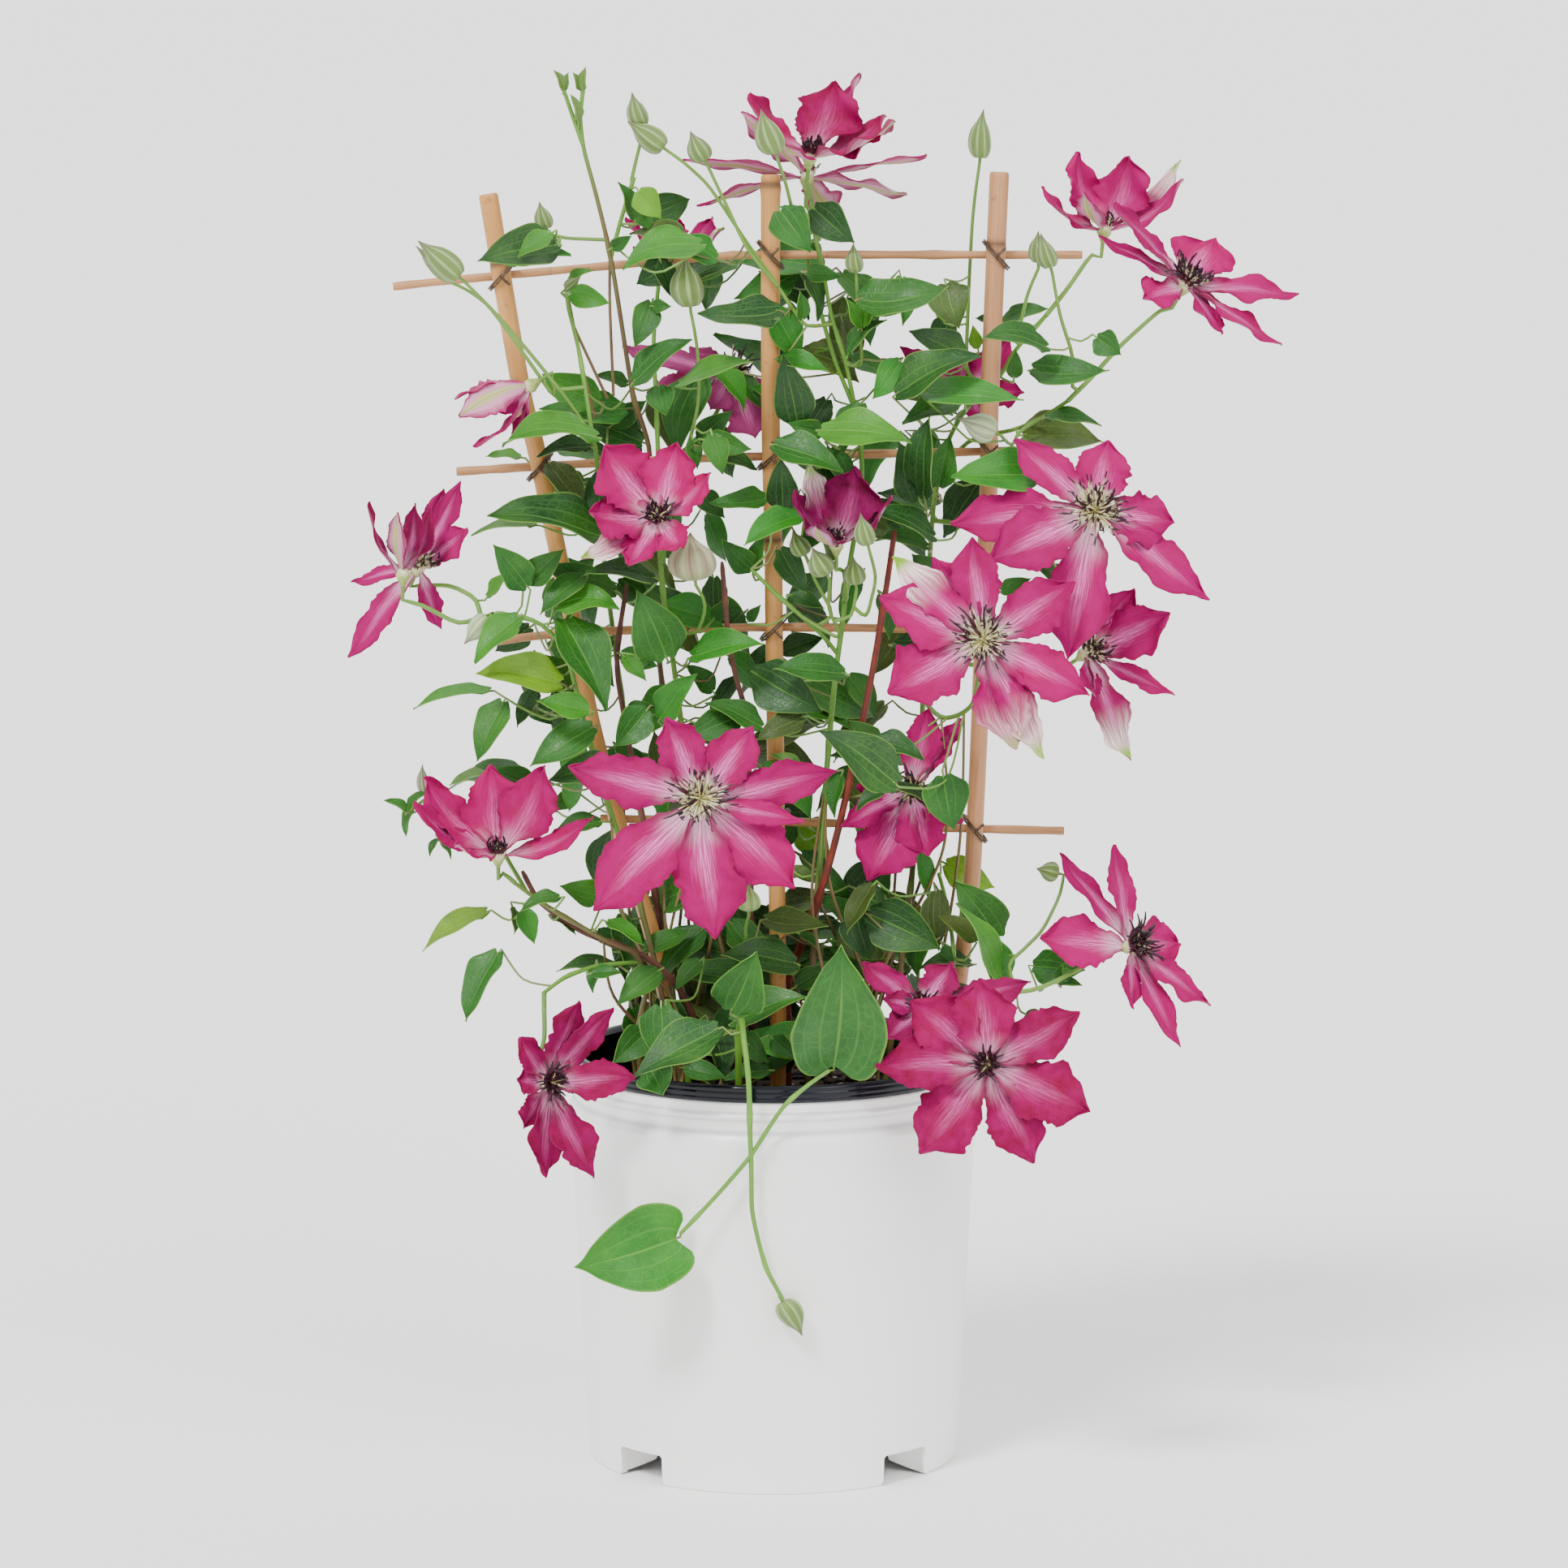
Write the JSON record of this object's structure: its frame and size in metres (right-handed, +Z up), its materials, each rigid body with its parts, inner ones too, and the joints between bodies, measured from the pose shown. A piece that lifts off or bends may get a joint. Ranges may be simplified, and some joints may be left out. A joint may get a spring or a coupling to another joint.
{
  "type": "clematis plant on a trellis",
  "caption": "Climbing clematis in full bloom, trained flat up a fan of bamboo stakes with thin cross rungs, growing in a round nursery pot.",
  "frame": {"origin": "centre of the whole part's bounding box, on the floor that the pot stands on", "axes": "+Z up, the front of the plant faces -Y, +X to the right as seen from the front"},
  "size_m": [0.3856, 0.1888, 0.5689],
  "materials": {
    "pot_white": "satin moulded plastic",
    "lining_navy": "smooth glossy plastic",
    "potting_soil": "loose crumbly potting mix",
    "bamboo": "dry bamboo cane, satin",
    "tie_wire": "thin coated tie wire",
    "leaf_green": "living leaf, softly shiny, veined",
    "woody_bark": "reddish brown bark",
    "tepal_magenta": "velvety tepal with a paler middle bar",
    "stamen_cream": "cream filaments with dark anthers"
  },
  "bodies": {
    "root": {"bloom_at_rim_left": "tepal_magenta", "bloom_at_rim_right": "tepal_magenta", "bloom_back_left": "tepal_magenta", "bloom_back_middle": "tepal_magenta", "bloom_back_right": "tepal_magenta", "bloom_behind_rim": "tepal_magenta", "bloom_behind_stake": "tepal_magenta", "bloom_dark_cup": "tepal_magenta", "bloom_far_left_cup": "tepal_magenta", "bloom_far_left_open": "tepal_magenta", "bloom_left_cup": "tepal_magenta", "bloom_left_nodding": "tepal_magenta", "bloom_low_right": "tepal_magenta", "bloom_lower_left_large": "tepal_magenta", "bloom_right_cup": "tepal_magenta", "bloom_right_hidden": "tepal_magenta", "bloom_right_large": "tepal_magenta", "bloom_right_open": "tepal_magenta", "bloom_right_upper": "tepal_magenta", "bloom_top_back": "tepal_magenta", "bloom_top_front": "tepal_magenta", "bloom_upper_left": "tepal_magenta", "hanging_shoot": "leaf_green", "pot": "pot_white", "pot_lining": "lining_navy", "rim_leaves": "leaf_green", "rung_1": "bamboo", "rung_2": "bamboo", "rung_3": "bamboo", "rung_4": "bamboo", "soil": "potting_soil", "stake_left": "bamboo", "stake_middle": "bamboo", "stake_right": "bamboo", "stamens_at_rim_left": "stamen_cream", "stamens_at_rim_right": "stamen_cream", "stamens_low_right": "stamen_cream", "stamens_lower_left_large": "stamen_cream", "stamens_right_large": "stamen_cream", "stamens_right_open": "stamen_cream", "stamens_right_upper": "stamen_cream", "stamens_upper_left": "stamen_cream", "tie_left_1": "tie_wire", "tie_middle_1": "tie_wire", "tie_middle_2": "tie_wire", "tie_middle_3": "tie_wire", "tie_right_1": "tie_wire", "tie_right_4": "tie_wire", "vine_left": "leaf_green", "vine_low_left": "leaf_green", "vine_low_right": "leaf_green", "vine_middle": "leaf_green", "vine_middle_left": "leaf_green", "vine_right": "leaf_green", "vine_upper_left": "leaf_green", "woody_branch_low": "woody_bark", "woody_stem_left": "woody_bark", "woody_stem_middle": "woody_bark", "woody_stem_right": "woody_bark", "young_shoot": "leaf_green"}
  },
  "joints": []
}
